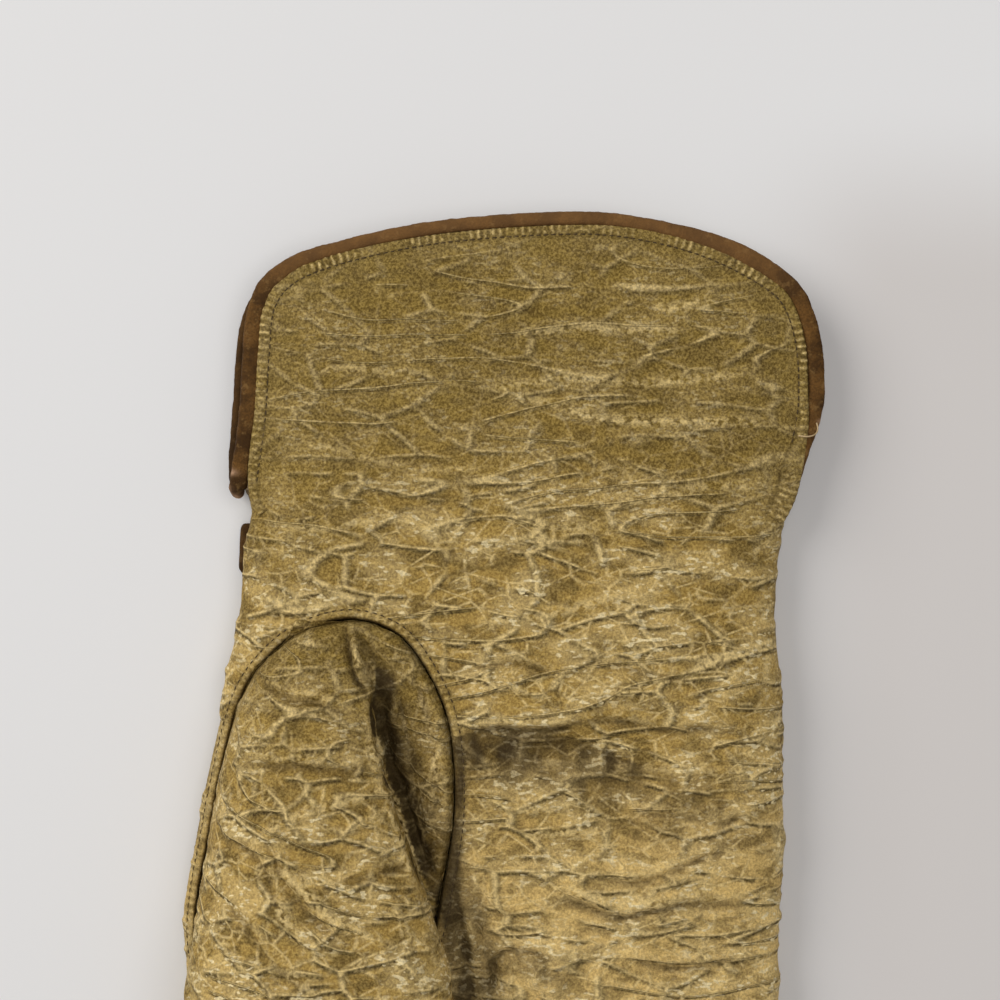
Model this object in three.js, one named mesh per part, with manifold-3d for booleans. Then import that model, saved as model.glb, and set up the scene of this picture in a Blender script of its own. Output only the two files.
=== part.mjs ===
// A lined leather dress glove for the right hand, lying flat on its back with the palm up.
// Tan leather with a deep shrunken grain, a thumb set into an oval hole in the palm, and a short
// flared cuff that is split at both sides into a palm flap and a back flap. One brown leather
// binding runs round the edges of both flaps. A brown strap crosses the back of the wrist.
//
// Millimetres, +Z up. The fingers point along -Y and the cuff opens along +Y, with the thumb on
// the -X side. The tables below are drawn from the middle of the wrist, and the group at the end
// is moved so that the origin is on the floor under the middle of the glove's bounding box.
import * as THREE from "three";
import { LoftGeometry } from "three/addons/geometries/LoftGeometry.js";
import { mergeVertices } from "three/addons/utils/BufferGeometryUtils.js";
import Module from "manifold-3d";

const WALL = 2; // leather and lining together
const GAP = 0.3; // between pieces that are sewn to each other
const BOX_MIDDLE = { x: -0.4, y: -70.5 }; // middle of the glove's bounding box, from the wrist
const FAR = 300; // well outside the glove in plan
const BELOW = -10; // well under the glove
const ABOVE = 60; // well over it

const TAN = { color: 0x8f7746, roughness: 0.62, metalness: 0 };
const BROWN = { color: 0x5b3f22, roughness: 0.78, metalness: 0 };

const wasm = await Module();
wasm.setup();

// A closed three.js geometry as a solid that can be joined and cut.
function solid(geometry) {
  const bare = new THREE.BufferGeometry().setAttribute("position", geometry.getAttribute("position"));
  if (geometry.index) bare.setIndex(geometry.index);
  const merged = mergeVertices(bare, 1e-4);
  return new wasm.Manifold(
    new wasm.Mesh({
      numProp: 3,
      vertProperties: merged.attributes.position.array,
      triVerts: new Uint32Array(merged.index.array),
    }),
  );
}

// A solid as a named mesh.
function piece(name, body, look) {
  const { vertProperties, triVerts, numProp } = body.getMesh();
  const geometry = new THREE.BufferGeometry();
  const places = new THREE.InterleavedBuffer(vertProperties, numProp);
  geometry.setAttribute("position", new THREE.InterleavedBufferAttribute(places, 3, 0));
  geometry.setIndex(new THREE.BufferAttribute(triVerts, 1));
  const flat = geometry.toNonIndexed();
  flat.computeVertexNormals();
  const mesh = new THREE.Mesh(flat, new THREE.MeshStandardMaterial(look));
  mesh.name = name;
  return mesh;
}

// An upright prism over a plan outline, from one height to another.
function prism(points, low, high) {
  const geometry = new THREE.ExtrudeGeometry(new THREE.Shape(points), {
    depth: high - low,
    bevelEnabled: false,
  });
  geometry.translate(0, 0, low);
  return solid(geometry);
}

// A smooth curve through plan points, as evenly spaced points.
function smooth(points, steps, closed = false) {
  const knots = points.map(([x, y]) => new THREE.Vector3(x, y, 0));
  const curve = new THREE.CatmullRomCurve3(knots, closed, "centripetal");
  const found = curve.getSpacedPoints(steps).map((p) => new THREE.Vector2(p.x, p.y));
  if (closed) found.pop();
  return found;
}

// A closed plan outline moved inwards by the same distance all round.
function inset(outline, distance) {
  const turn = THREE.ShapeUtils.isClockWise(outline) ? -distance : distance;
  const inward = (from, to) => {
    const along = to.clone().sub(from).normalize();
    return new THREE.Vector2(-along.y, along.x);
  };
  return outline.map((p, i) => {
    const before = inward(outline.at(i - 1), p);
    const after = inward(p, outline[(i + 1) % outline.length]);
    const corner = before.clone().add(after).divideScalar(1 + before.dot(after));
    return corner.multiplyScalar(turn).add(p);
  });
}

// An open plan line moved to the left of its own direction.
function moveLeft(line, distance) {
  return line.map((p, i) => {
    const before = line[Math.max(i - 1, 0)];
    const after = line[Math.min(i + 1, line.length - 1)];
    const along = after.clone().sub(before).normalize();
    return p.clone().add(new THREE.Vector2(-along.y, along.x).multiplyScalar(distance));
  });
}

// One quarter of a rounded section, from its side point to its crest. Fullness 2 is an ellipse.
function quarter(side, crest, fullness, steps) {
  const points = [];
  for (let i = 0; i <= steps; i++) {
    const turn = (i / steps) * (Math.PI / 2);
    const across = Math.pow(Math.cos(turn), 2 / fullness);
    const up = Math.pow(Math.sin(turn), 2 / fullness);
    points.push({
      x: crest.x + (side.x - crest.x) * (i === steps ? 0 : across),
      z: side.z + (crest.z - side.z) * up,
    });
  }
  return points;
}

// The section of a flattened tube at one station, in the order that a loft towards -Y needs.
// Left and right sit at their own heights, the underside is flat between two rounded corners.
function flatTube(row, inside, steps) {
  const left = { x: row.left + inside, z: row.leftSide };
  const right = { x: row.right - inside, z: row.rightSide };
  const crest = { x: (row.left + row.right) / 2, z: row.top - inside };
  const corner = Math.min(row.corner, (right.x - left.x) / 2 - 0.5);
  const floor = row.bottom + inside;
  const lowLeft = quarter(left, { x: left.x + corner, z: floor }, 2, 3);
  const lowRight = quarter(right, { x: right.x - corner, z: floor }, 2, 3);
  return [
    ...lowLeft.slice(0, -1),
    ...lowRight.reverse().slice(0, -1),
    ...quarter(right, crest, row.fullness, steps),
    ...quarter(left, crest, row.fullness, steps).reverse().slice(1, -1),
  ];
}

// A solid skinned over sections, each with its own points in space.
function loft(sections) {
  return solid(new LoftGeometry(sections, { capStart: true, capEnd: true }));
}

// The hand: palm and back

// Stations along the hand, from beyond the cuff's mouth to the finger crotches. The side height
// is where the leather turns over from the palm to the back, and the bottom lifts over the strap.
const HAND = [
  { y: 60, left: -51.5, right: 58.5, top: 9.8, side: 3.2, bottom: 0 },
  { y: 42, left: -51.5, right: 58.5, top: 10.4, side: 3.3, bottom: 0 },
  { y: 28, left: -51.5, right: 58.5, top: 11.3, side: 3.4, bottom: 0 },
  { y: 17, left: -51.0, right: 57.5, top: 12.1, side: 3.6, bottom: 0 },
  { y: 10, left: -49.0, right: 55.5, top: 12.5, side: 3.9, bottom: 0 },
  { y: 5.5, left: -45.5, right: 51.8, top: 12.6, side: 4.3, bottom: 0.6 },
  { y: 2, left: -42.5, right: 49.3, top: 12.6, side: 4.7, bottom: 1.9 },
  { y: -3, left: -42.9, right: 48.2, top: 12.8, side: 5.0, bottom: 1.9 },
  { y: -10.5, left: -43.8, right: 47.4, top: 13.2, side: 5.2, bottom: 1.9 },
  { y: -15.4, left: -44.5, right: 47.0, top: 13.7, side: 5.4, bottom: 0.3 },
  { y: -20.5, left: -45.4, right: 47.2, top: 14.1, side: 5.6, bottom: 0 },
  { y: -25, left: -46.9, right: 47.9, top: 14.3, side: 5.6, bottom: 0 },
  { y: -30, left: -47.5, right: 48.4, top: 14.4, side: 5.6, bottom: 0 },
  { y: -34, left: -47.8, right: 48.4, top: 14.4, side: 5.6, bottom: 0 },
  { y: -36.6, left: -48.2, right: 48.4, top: 14.4, side: 5.6, bottom: 0 },
  { y: -40, left: -49.0, right: 48.4, top: 14.4, side: 5.6, bottom: 0 },
  { y: -46, left: -50.5, right: 48.4, top: 14.4, side: 5.6, bottom: 0 },
  { y: -53, left: -51.7, right: 48.6, top: 14.4, side: 5.6, bottom: 0 },
  { y: -60, left: -53.1, right: 48.3, top: 14.4, side: 5.5, bottom: 0 },
  { y: -66, left: -54.2, right: 47.9, top: 14.3, side: 5.5, bottom: 0 },
  { y: -69.6, left: -54.3, right: 47.7, top: 14.2, side: 5.5, bottom: 0 },
  { y: -73, left: -53.9, right: 47.8, top: 14.1, side: 5.4, bottom: 0 },
  { y: -79, left: -53.4, right: 47.9, top: 13.9, side: 5.4, bottom: 0 },
  { y: -86, left: -53.6, right: 47.7, top: 13.4, side: 5.3, bottom: 0 },
  { y: -94, left: -53.9, right: 47.3, top: 12.6, side: 5.2, bottom: 0 },
  { y: -101, left: -53.4, right: 46.6, top: 11.2, side: 5.1, bottom: 0 },
  { y: -114, left: -52.2, right: 44.8, top: 9.4, side: 4.8, bottom: 0 },
];
const HAND_FULLNESS = 2.6;
const HAND_CORNER = 5; // rounding where the back turns up to the sides
const HAND_STEPS = 9;
const LINING_STEPS = 6; // the inner face is drawn more coarsely

// Folds and dents of the palm: the middle of a bump or hollow, its reach along X and Y, and how
// far it lifts the leather.
const FOLDS = [
  { x: 8, y: -33.6, reachX: 17, reachY: 2.8, lift: 1.0 }, // leather pushed up over the deep crease
  { x: 8, y: -38.0, reachX: 17, reachY: 3.0, lift: -1.7 }, // deep crease beside the thumb hole
  { x: 13, y: -44.0, reachX: 15, reachY: 6.0, lift: -0.9 }, // hollow under it
  { x: 34, y: -67.8, reachX: 13, reachY: 2.6, lift: 0.8 }, // ridge over the lower crease
  { x: 34, y: -71.4, reachX: 13, reachY: 2.6, lift: -1.2 }, // lower crease, by the little finger
  { x: -4, y: -74.0, reachX: 5, reachY: 9.0, lift: -1.6 }, // valley beside the thumb
  { x: 5, y: -81.0, reachX: 7, reachY: 6.0, lift: 1.3 }, // hump by the thumb's crotch
  { x: 41, y: -28.0, reachX: 8, reachY: 7.0, lift: 0.6 },
  { x: 38, y: -48.0, reachX: 9, reachY: 8.0, lift: 0.6 },
];

function foldLift(x, y) {
  let lift = 0;
  for (const fold of FOLDS) {
    const across = (x - fold.x) / fold.reachX;
    const along = (y - fold.y) / fold.reachY;
    lift += fold.lift * Math.exp(-across * across - along * along);
  }
  return lift;
}

function handSection(row, inside) {
  const whole = { ...row, leftSide: row.side, rightSide: row.side, corner: HAND_CORNER };
  const steps = inside > 0 ? LINING_STEPS : HAND_STEPS;
  return flatTube({ ...whole, fullness: HAND_FULLNESS }, inside, steps).map(({ x, z }) => {
    const raised = z > row.side + 1 ? z + foldLift(x, row.y) : z;
    return new THREE.Vector3(x, row.y, raised);
  });
}

// Height of the palm's outer face over a plan point.
function palmHeight(x, y) {
  let i = 0;
  while (i < HAND.length - 2 && HAND[i + 1].y > y) i++;
  const [above, below] = [HAND[i], HAND[i + 1]];
  const share = THREE.MathUtils.clamp((above.y - y) / (above.y - below.y), 0, 1);
  const at = (key) => THREE.MathUtils.lerp(above[key], below[key], share);
  const half = (at("right") - at("left")) / 2;
  const out = Math.min(Math.abs(x - at("left") - half) / half, 1);
  const rise = Math.pow(1 - Math.pow(out, HAND_FULLNESS), 1 / HAND_FULLNESS);
  return at("side") + (at("top") - at("side")) * rise + foldLift(x, y);
}

// The finger crotches lie on a shallow arch, which ends the palm.
const ARCH = { x: -12, y: -108.5, curve: 0.003 };
const ARCH_POINTS = [-90, -60, -45, -30, -15, 0, 15, 30, 45, 75];

function crotchLine(x) {
  return ARCH.y + ARCH.curve * (x - ARCH.x) ** 2;
}

function palmPlan(inside) {
  const arch = ARCH_POINTS.map((x) => new THREE.Vector2(x, crotchLine(x) + inside));
  return [
    ...arch,
    new THREE.Vector2(ARCH_POINTS.at(-1), FAR),
    new THREE.Vector2(ARCH_POINTS[0], FAR),
  ];
}

function handSolid(inside) {
  const start = { ...HAND[0], y: HAND[0].y + (inside > 0 ? 10 : 1) };
  const rows = [start, ...HAND].map((row) => handSection(row, inside));
  return loft(rows).intersect(prism(palmPlan(inside), BELOW, ABOVE));
}

// The fingers

// Each finger: where its middle line starts inside the palm, its lean away from -Y in degrees,
// its length from there, and its flat width at the root and near the tip.
const FINGERS = [
  { x: -41.2, y: -90, lean: -2.4, length: 93, root: 24.8, tip: 20.5 },
  { x: -16.0, y: -90, lean: -0.4, length: 103, root: 24.8, tip: 21.0 },
  { x: 9.4, y: -90, lean: 1.8, length: 95, root: 24.8, tip: 20.5 },
  { x: 34.6, y: -90, lean: 4.2, length: 77, root: 24.4, tip: 18.5 },
];
const FINGER_TOP = 11;
const FINGER_SIDE = 5.2;
const FINGER_CORNER = 3.5;
const FINGER_FULLNESS = 2.8;
const FINGER_STEPS = 5;
const ROOT_SUNK = 16; // over this length the finger rises out of the palm
const ROOT_THIN = 0.7;
const TIP_ROUND = 11; // length of the rounded tip

// Rows of one finger: straight to where the tip starts to round, then an elliptical tip.
function fingerRows(finger, inside) {
  const straight = finger.length - TIP_ROUND;
  const rows = [0, ROOT_SUNK, straight * 0.45, straight * 0.72].map((along) => ({
    along,
    half: THREE.MathUtils.lerp(finger.root, finger.tip, along / straight) / 2,
    thin: along === 0 ? ROOT_THIN : 1,
  }));
  for (const turn of [0, 25, 47, 65, 80].map(THREE.MathUtils.degToRad)) {
    rows.push({
      along: straight + (TIP_ROUND - inside) * Math.sin(turn),
      half: (finger.tip / 2) * Math.cos(turn),
      thin: 0.45 + 0.55 * Math.cos(turn),
    });
  }
  return rows;
}

// A point of a finger's own frame, ahead along the finger and across it, in plan.
function onFinger(finger, across, along) {
  const lean = THREE.MathUtils.degToRad(finger.lean);
  const point = new THREE.Vector2(across, -along).rotateAround(new THREE.Vector2(), lean);
  return point.add(new THREE.Vector2(finger.x, finger.y));
}

function fingerSolid(finger, inside) {
  const sections = fingerRows(finger, inside).map(({ along, half, thin }) => {
    const wide = Math.max(half, Math.max(inside, 0) + 1.5);
    const side = FINGER_SIDE * (0.3 + 0.7 * thin);
    const row = {
      left: -wide,
      right: wide,
      leftSide: side,
      rightSide: side,
      top: Math.max(FINGER_TOP * thin, 2 * inside + 1),
      bottom: 0,
      corner: FINGER_CORNER,
      fullness: FINGER_FULLNESS,
    };
    return flatTube(row, inside, FINGER_STEPS).map(({ x, z }) => {
      const plan = onFinger(finger, x, along);
      return new THREE.Vector3(plan.x, plan.y, z);
    });
  });
  return loft(sections);
}

function wholeHand(inside) {
  return FINGERS.reduce(
    (found, finger) => found.add(fingerSolid(finger, inside)),
    handSolid(inside),
  );
}

// The cuff's two flaps

// Edge of the palm flap's leather, from the foot of the thumb-side vent over the top to the foot
// of the other vent.
const PALM_FLAP = [
  [-42.4, 3.0],
  [-42.4, 6.5],
  [-40.9, 16.8],
  [-40.2, 28.7],
  [-39.2, 36.6],
  [-35.4, 41.2],
  [-16.8, 46.9],
  [8.5, 49.4],
  [20.2, 49.1],
  [33.7, 46.1],
  [43.8, 41.4],
  [48.7, 37.6],
  [51.3, 30.3],
  [51.8, 20.2],
  [50.4, 11.8],
  [48.2, 5.4],
  [47.6, 3.0],
];
// The back flap stands out on the thumb side and hides behind the palm flap elsewhere.
const BACK_FLAP = [
  [-43.4, 3.0],
  [-44.9, 7.7],
  [-44.4, 16.0],
  [-43.8, 25.0],
  [-43.3, 31.0],
  [-42.0, 36.4],
  [-37.6, 41.0],
  [-16.8, 46.5],
  [8.5, 48.9],
  [20.2, 48.6],
  [33.7, 45.6],
  [43.8, 40.9],
  [48.4, 37.2],
  [50.9, 30.0],
  [51.3, 20.2],
  [49.9, 11.8],
  [48.0, 5.4],
  [47.4, 3.0],
];
const FLAP_STEPS = 32;
const FLAP_SPLIT = 3.6; // height that parts the two flaps

// The plan of all that is kept: the flap above the vents' foot, and everything below it.
function keptPlan(edge) {
  const foot = edge[0].y;
  return [
    new THREE.Vector2(-FAR, foot),
    ...edge,
    new THREE.Vector2(FAR, foot),
    new THREE.Vector2(FAR, -FAR),
    new THREE.Vector2(-FAR, -FAR),
  ];
}

const palmEdge = smooth(PALM_FLAP, FLAP_STEPS);
const backEdge = smooth(BACK_FLAP, FLAP_STEPS);
const trimmed = prism(keptPlan(palmEdge), FLAP_SPLIT, ABOVE).add(
  prism(keptPlan(backEdge), BELOW, FLAP_SPLIT),
);

// The binding: one roll round both flaps that turns through the foot of each vent.
const ROLL = 0.95; // radius of the rolled edge
const ROLL_OUT = 1.3; // its middle stands this far outside the flap's edge
const ROLL_DROP = 0.7; // and this far under the palm's face
const ROLL_LIFT = 0.15; // the back's roll is clear of the table
const TURN_TOP = 6.6; // the roll leaves the flaps' edges here and turns through the vent

function rollPath() {
  const place = (p, height) => new THREE.Vector3(p.x, p.y, height);
  const palmLine = moveLeft(palmEdge, ROLL_OUT)
    .filter((p) => p.y > TURN_TOP)
    .map((p) => place(p, palmHeight(p.x, p.y) - ROLL_DROP));
  const backLine = moveLeft(backEdge, ROLL_OUT)
    .filter((p) => p.y > TURN_TOP)
    .map((p) => place(p, ROLL + ROLL_LIFT));
  return new THREE.CatmullRomCurve3(
    [
      ...palmLine,
      new THREE.Vector3(49.8, 5.5, 6.6),
      new THREE.Vector3(49.7, 4.6, 4.4),
      new THREE.Vector3(49.7, 5.5, 2.2),
      ...backLine.reverse(),
      new THREE.Vector3(-45.6, 5.3, 2.2),
      new THREE.Vector3(-44.9, 4.6, 4.4),
      new THREE.Vector3(-44.2, 5.2, 6.8),
    ],
    true,
    "centripetal",
  );
}

const ROLL_ROUNDS = 130;
const ROLL_SIDES = 6;
const binding = solid(new THREE.TubeGeometry(rollPath(), ROLL_ROUNDS, ROLL, ROLL_SIDES, true));

// The thumb

// The thumb hole in the palm, a long oval.
const THUMB_HOLE = [
  [-24.9, -16.4],
  [-17.1, -18.9],
  [-12.7, -24.1],
  [-9.0, -31.8],
  [-7.6, -40.9],
  [-7.6, -50.0],
  [-9.4, -61.0],
  [-11.6, -71.0],
  [-16.0, -79.0],
  [-25.0, -84.4],
  [-36.0, -85.4],
  [-46.0, -82.6],
  [-51.0, -75.0],
  [-51.4, -65.0],
  [-49.6, -54.7],
  [-47.6, -43.9],
  [-45.1, -33.6],
  [-42.0, -26.6],
  [-34.7, -19.4],
];
const holeEdge = smooth(THUMB_HOLE, 42, true);
const HOLE_FLOOR = 5; // the cut for the hole stops here, above the back of the glove

// Stations along the thumb, from the top of the hole to the tip. Past the crotch it lies free on
// the palm.
const THUMB = [
  { y: -16.2, left: -31.0, right: -22.0, bottom: 8.0, top: 12.8, leftSide: 10.4, rightSide: 10.8 },
  { y: -19.6, left: -36.0, right: -20.8, bottom: 7.4, top: 14.8, leftSide: 10.0, rightSide: 12.0 },
  { y: -25, left: -41.6, right: -21.8, bottom: 6.6, top: 17.4, leftSide: 9.8, rightSide: 13.6 },
  { y: -32, left: -44.6, right: -21.0, bottom: 6.0, top: 19.6, leftSide: 9.8, rightSide: 15.0 },
  { y: -38, left: -46.2, right: -20.4, bottom: 5.8, top: 20.8, leftSide: 9.8, rightSide: 15.8 },
  { y: -45, left: -47.7, right: -18.3, bottom: 5.6, top: 22.0, leftSide: 9.8, rightSide: 16.4 },
  { y: -53, left: -49.1, right: -15.4, bottom: 5.6, top: 23.2, leftSide: 9.8, rightSide: 17.2 },
  { y: -61, left: -50.3, right: -12.5, bottom: 6.4, top: 24.4, leftSide: 10.2, rightSide: 18.0 },
  { y: -69, left: -51.2, right: -9.7, bottom: 9.0, top: 25.6, leftSide: 12.0, rightSide: 18.8 },
  { y: -75, left: -51.9, right: -8.1, bottom: 12.0, top: 26.3, leftSide: 15.0, rightSide: 19.6 },
  { y: -81, left: -52.2, right: -6.9, bottom: 15.0, top: 26.8, leftSide: 19.2, rightSide: 20.2 },
  { y: -88, left: -52.2, right: -6.8, bottom: 14.8, top: 26.8, leftSide: 20.2, rightSide: 20.2 },
  { y: -98, left: -51.8, right: -8.6, bottom: 13.8, top: 26.2, leftSide: 19.6, rightSide: 19.6 },
  { y: -109, left: -50.8, right: -12.2, bottom: 12.6, top: 25.0, leftSide: 18.4, rightSide: 18.4 },
  { y: -120, left: -49.2, right: -16.0, bottom: 12.0, top: 23.8, leftSide: 17.6, rightSide: 17.6 },
  { y: -129, left: -46.8, right: -19.6, bottom: 12.0, top: 22.6, leftSide: 17.0, rightSide: 17.0 },
  { y: -135, left: -43.4, right: -23.8, bottom: 12.4, top: 21.2, leftSide: 16.7, rightSide: 16.7 },
  { y: -138.4, left: -38.6, right: -29.4, bottom: 13.6, top: 19.2, leftSide: 16.4, rightSide: 16.4 },
];
const THUMB_CORNER = 6;
const THUMB_FULLNESS = 2.3;
const THUMB_STEPS = 6;

function thumbSection(row, inside) {
  const whole = { ...row, corner: THUMB_CORNER, fullness: THUMB_FULLNESS };
  return flatTube(whole, inside, THUMB_STEPS).map(({ x, z }) => new THREE.Vector3(x, row.y, z));
}

// The tuck: the sheet of thumb leather between the thumb's right edge and the seam in the palm.
// It starts under the thumb's edge, dips, and comes up to the palm.
const TUCK = [
  { y: -16.6, inner: -34.0, drop: 0.6 },
  { y: -20, inner: -36.0, drop: 0.6 },
  { y: -25, inner: -34.0, drop: 1.6 },
  { y: -31, inner: -28.6, drop: 4.0 },
  { y: -38, inner: -27.6, drop: 5.6 },
  { y: -47, inner: -25.0, drop: 6.2 },
  { y: -56, inner: -21.6, drop: 6.2 },
  { y: -64, inner: -19.0, drop: 5.0 },
  { y: -72, inner: -22.0, drop: 2.6 },
  { y: -80, inner: -34.0, drop: 0.6 },
];
const SEAM_REACH = -5; // past the seam, where the hole's edge trims the sheet

const tuck = loft(
  TUCK.map(({ y, inner, drop }) => {
    const seamTop = palmHeight(SEAM_REACH, y);
    const over = [
      new THREE.Vector3(SEAM_REACH, y, seamTop),
      new THREE.Vector3(THREE.MathUtils.lerp(SEAM_REACH, inner, 0.3), y, seamTop - drop * 0.2),
      new THREE.Vector3(THREE.MathUtils.lerp(SEAM_REACH, inner, 0.65), y, seamTop - drop * 0.75),
      new THREE.Vector3(inner, y, seamTop - drop),
    ];
    const under = over.map((p) => new THREE.Vector3(p.x, y, p.z - WALL)).reverse();
    return [...over, ...under];
  }),
);

// The way from the hand up into the thumb.
const throat = loft(
  THUMB.slice(2, 9).map((row) => {
    const left = row.left + WALL;
    const right = row.right - WALL - 5;
    return [
      new THREE.Vector3(left, row.y, -1),
      new THREE.Vector3(right, row.y, -1),
      new THREE.Vector3(right, row.y, row.leftSide + 2),
      new THREE.Vector3(left, row.y, row.leftSide + 2),
    ];
  }),
);

const holeFit = prism(inset(holeEdge, GAP), BELOW, ABOVE);
const aroundHole = handSolid(-GAP).subtract(holeFit);
const thumb = loft(THUMB.map((row) => thumbSection(row, 0)))
  .add(tuck)
  .subtract(loft(THUMB.slice(2, -1).map((row) => thumbSection(row, WALL))))
  .subtract(throat)
  .subtract(aroundHole);

// The leather of the hand, before the side strips are parted from it.
const hand = wholeHand(0)
  .subtract(wholeHand(WALL))
  .intersect(trimmed)
  .subtract(prism(holeEdge, HOLE_FLOOR, ABOVE));

// The side strips: each lines the facing sides of two neighbouring fingers and their crotch.
const STRIP_LOW = 3.2;
const STRIP_HIGH = 7.6;
const STRIP_DEPTH = 4; // how far the parting reaches into each finger
const STRIP_STOP = 7; // the strips end this far short of the fingertips

function stripPlan(finger, next) {
  const depth = crotchLine((finger.x + next.x) / 2) + WALL + 0.6;
  const at = (which, sign, out, share) => {
    const half = THREE.MathUtils.lerp(which.root, which.tip, share) / 2 + out;
    const along = THREE.MathUtils.lerp(12, which.length - STRIP_STOP, share);
    return onFinger(which, sign * half, along);
  };
  return [
    new THREE.Vector2(at(finger, 1, -STRIP_DEPTH, 0).x, depth),
    at(finger, 1, -STRIP_DEPTH, 1),
    at(finger, 1, 1, 1),
    at(next, -1, 1, 1),
    at(next, -1, -STRIP_DEPTH, 1),
    new THREE.Vector2(at(next, -1, -STRIP_DEPTH, 0).x, depth),
  ];
}

let shell = hand;
const strips = [];
for (let i = 0; i < FINGERS.length - 1; i++) {
  const plan = stripPlan(FINGERS[i], FINGERS[i + 1]);
  strips.push(hand.intersect(prism(inset(plan, GAP), STRIP_LOW + GAP, STRIP_HIGH - GAP)));
  shell = shell.subtract(prism(plan, STRIP_LOW, STRIP_HIGH));
}

// The strap across the back of the wrist, under the glove as it lies.
const STRAP = [
  [-43.8, -0.6],
  [-44.2, -1.6],
  [-44.5, -8.4],
  [-43.9, -9.4],
  [44.0, -9.0],
  [45.0, -8.0],
  [45.0, -1.8],
  [44.0, -0.8],
];
const STRAP_THICK = 1.5;
const strap = prism(
  STRAP.map(([x, y]) => new THREE.Vector2(x, y)),
  0,
  STRAP_THICK,
);

const glove = new THREE.Group();
glove.add(
  piece("hand_shell", shell, TAN),
  piece("thumb", thumb, TAN),
  piece("fourchette_index_middle", strips[0], TAN),
  piece("fourchette_middle_ring", strips[1], TAN),
  piece("fourchette_ring_little", strips[2], TAN),
  piece("cuff_binding", binding, BROWN),
  piece("wrist_strap", strap, BROWN),
);
glove.position.set(-BOX_MIDDLE.x, -BOX_MIDDLE.y, 0);

export default glove;
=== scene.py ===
"""A lined leather dress glove for the right hand, lying on its back with the palm up.

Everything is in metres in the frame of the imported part: +Z up out of the palm, +Y towards the
cuff's mouth, the thumb at -X. Plan tables are in millimetres from the middle of the wrist, as
in the part's source, and fold lines are in the photograph's pixels.
"""

import math

import bmesh
import bpy
import numpy as np
from mathutils import Matrix, Vector, noise
from mathutils.bvhtree import BVHTree


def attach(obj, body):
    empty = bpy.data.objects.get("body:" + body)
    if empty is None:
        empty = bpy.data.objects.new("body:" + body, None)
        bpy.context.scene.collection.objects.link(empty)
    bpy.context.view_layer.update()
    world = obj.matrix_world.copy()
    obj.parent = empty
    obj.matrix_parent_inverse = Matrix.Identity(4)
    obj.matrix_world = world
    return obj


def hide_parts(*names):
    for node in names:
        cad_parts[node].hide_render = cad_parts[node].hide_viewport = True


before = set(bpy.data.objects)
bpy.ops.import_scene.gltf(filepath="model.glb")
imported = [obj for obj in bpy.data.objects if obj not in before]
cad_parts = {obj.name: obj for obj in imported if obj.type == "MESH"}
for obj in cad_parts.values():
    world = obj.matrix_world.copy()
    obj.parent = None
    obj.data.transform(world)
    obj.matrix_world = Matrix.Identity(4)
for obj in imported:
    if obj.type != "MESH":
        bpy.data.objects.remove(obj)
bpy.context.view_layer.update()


# The hand: palm and back cut from one tan hide with a deep shrunken grain, about 1 mm thick over
# a thin knitted lining. It is sewn down the little finger's side and slit at both sides of the
# cuff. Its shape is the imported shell's, with the photograph's folds raised and pressed into it.
MM = 0.001
WRIST = Vector((0.4, 70.5, 0.0))  # middle of the wrist in the part's frame, millimetres
HIDE_MESH = 0.62 * MM
HAND_SHARE = 0.39  # the share of its faces that stays when those below and inside are thinned
THUMB_SHARE = 0.55
FLOOR_LAYER = 3.2  # under this height the leather lies on the table, millimetres
PALM_LAYER = 6.5  # over this height it is the palm's
STRAP_PULL = 0.8  # how far the thumb's side stands out where the strap holds it


def spot(x, y, z=0.0):
    """A point drawn in millimetres from the middle of the wrist."""
    return (Vector((x, y, z)) + WRIST) * MM


CAMERA_HEIGHT = 326.0
CAMERA_OVER = (0.0, 3.42)
PIXEL = 171.0 / 1000 / 320  # millimetres across one pixel, for each millimetre of distance


def seen(px, py, z):
    """The point of the glove at height z that the photograph shows at this pixel, drawn in mm."""
    across = PIXEL * (CAMERA_HEIGHT - z)
    return (px - 500) * across + CAMERA_OVER[0], (500 - py) * across + CAMERA_OVER[1]


def settle(piece):
    """Applies the piece's modifiers to its mesh."""
    graph = bpy.context.evaluated_depsgraph_get()
    made = bpy.data.meshes.new_from_object(piece.evaluated_get(graph))
    piece.modifiers.clear()
    piece.data = made
    made.name = piece.name


def new_piece(name, bm):
    """An object of its own from a bmesh, smooth shaded."""
    mesh = bpy.data.meshes.new(name)
    bm.to_mesh(mesh)
    bm.free()
    mesh.shade_smooth()
    piece = bpy.data.objects.new(name, mesh)
    bpy.context.scene.collection.objects.link(piece)
    return piece


def merged_copy(name, node):
    """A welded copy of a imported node's mesh."""
    bm = bmesh.new()
    bm.from_mesh(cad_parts[node].data)
    bmesh.ops.remove_doubles(bm, verts=bm.verts, dist=1e-6)
    return new_piece(name, bm)


def soften(piece, size, rounds):
    """Meshes the piece evenly and smooths its facets away."""
    remesh = piece.modifiers.new("remesh", "REMESH")
    remesh.mode = "VOXEL"
    remesh.voxel_size = size
    smooth = piece.modifiers.new("smooth", "SMOOTH")
    smooth.factor = 0.5
    smooth.iterations = rounds
    settle(piece)
    piece.data.shade_smooth()


def places(mesh):
    """The mesh's points as an array."""
    found = np.empty(len(mesh.vertices) * 3)
    mesh.vertices.foreach_get("co", found)
    return found.reshape(-1, 3)


def directions(mesh):
    """The mesh's point normals as an array."""
    found = np.empty(len(mesh.vertices) * 3)
    mesh.vertices.foreach_get("normal", found)
    return found.reshape(-1, 3)


def move_to(mesh, points):
    """Puts the mesh's points at these places."""
    mesh.vertices.foreach_set("co", points.ravel())
    mesh.update()


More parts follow.
